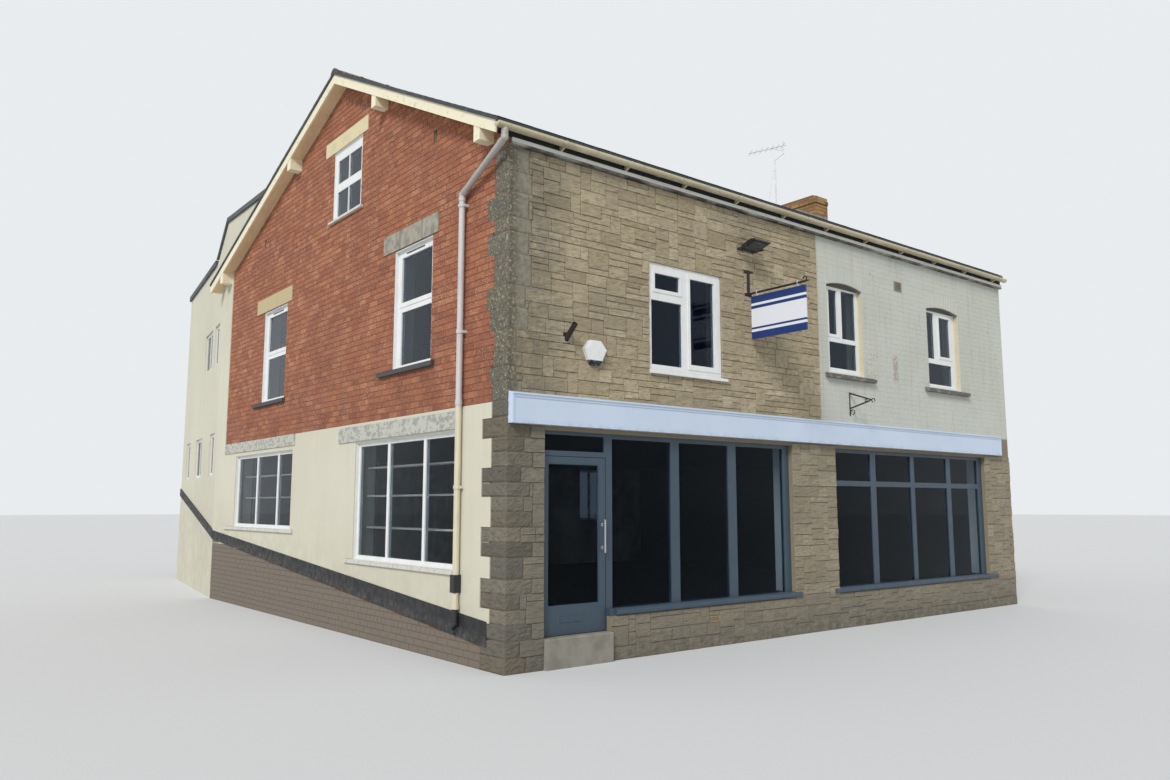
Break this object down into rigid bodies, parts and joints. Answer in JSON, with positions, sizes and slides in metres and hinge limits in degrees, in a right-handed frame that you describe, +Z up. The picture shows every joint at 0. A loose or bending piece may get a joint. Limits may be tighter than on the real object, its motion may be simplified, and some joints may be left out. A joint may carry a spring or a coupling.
{
  "type": "corner shop building",
  "caption": "Corner shop with a glazed shop front, a living storey, a gabled attic and a turned rear wing; the shop door opens and the hanging sign swings.",
  "frame": {"origin": "street corner of the building, where the outer faces of the front wall and the gable wall meet, at the level of the lowest ground beside the building", "axes": "+X along the front towards the party wall, +Y from the front into the building along the gable, +Z up"},
  "size_m": [11.582, 16.801, 10.522],
  "materials": {
    "stone_facing": "rough",
    "painted_brick": "matt",
    "step_stone": "worn",
    "sign_white": "satin",
    "frame_blue": "satin",
    "window_glass": "clear",
    "red_brick": "rough",
    "cream_render": "matt",
    "pale_stone": "worn",
    "slate_sill": "worn",
    "black_paint": "worn",
    "white_frame": "satin",
    "shelf_wood": "painted",
    "party_brick": "rough",
    "roof_felt": "matt",
    "floor_concrete": "rough",
    "floor_boards": "worn",
    "roof_slate": "rough",
    "soffit_boards": "painted",
    "cream_paint": "painted",
    "white_paint": "painted",
    "cream_gutter": "worn",
    "grey_pipe": "worn",
    "chimney_brick": "rough",
    "aerial_metal": "weathered",
    "black_iron": "painted",
    "black_metal": "painted",
    "sign_panel": "satin",
    "alarm_plastic": "satin",
    "vent_metal": "worn",
    "handle_steel": "brushed"
  },
  "bodies": {
    "building": {"front_wall_stone": "stone_facing", "front_wall_painted": "painted_brick", "shop_beam": "stone_facing", "shop_piers": "stone_facing", "stall_risers": "stone_facing", "door_step": "step_stone", "sign_board": "sign_white", "shop_windows": "frame_blue", "door_frame": "frame_blue", "ground_floor_glass": "window_glass", "gable_wall": "red_brick", "gable_render": "cream_render", "gable_lintels": "pale_stone", "window_sills": "slate_sill", "plinth": "black_paint", "gable_windows": "white_frame", "front_windows": "white_frame", "rear_windows": "white_frame", "upper_glass": "window_glass", "window_boards": "shelf_wood", "rear_wall": "cream_render", "party_wall": "party_brick", "wing_side_wall": "cream_render", "wing_rear_walls": "cream_render", "wing_roof": "roof_felt", "dormer": "cream_render", "ground_floor": "floor_concrete", "upper_floors": "floor_boards", "roof_covering": "roof_slate", "roof_deck": "soffit_boards", "barge_boards": "cream_paint", "eave_boards": "white_paint", "gutter": "cream_gutter", "downpipe": "grey_pipe", "chimney": "chimney_brick", "aerial": "aerial_metal", "sign_bracket": "black_iron", "scroll_bracket": "black_iron", "floodlight": "black_metal", "flagpole_holder": "black_iron", "alarm_box": "alarm_plastic", "wall_vents": "vent_metal"},
    "door_leaf": {"shop_door": "frame_blue", "door_glass": "window_glass", "door_handle": "handle_steel"},
    "sign_panel": {"hanging_sign": "sign_panel"}
  },
  "joints": [
    {"name": "shop_door_hinge", "type": "hinge", "parent": "building", "child": "door_leaf", "pos_m": [0.56, 0.117, 1.36], "axis": [0, 0, 1], "range_deg": [0, 90]},
    {"name": "sign_swing", "type": "hinge", "parent": "building", "child": "sign_panel", "pos_m": [4.055, -0.5, 4.765], "axis": [0, 1, 0], "range_deg": [-35, 35]}
  ]
}
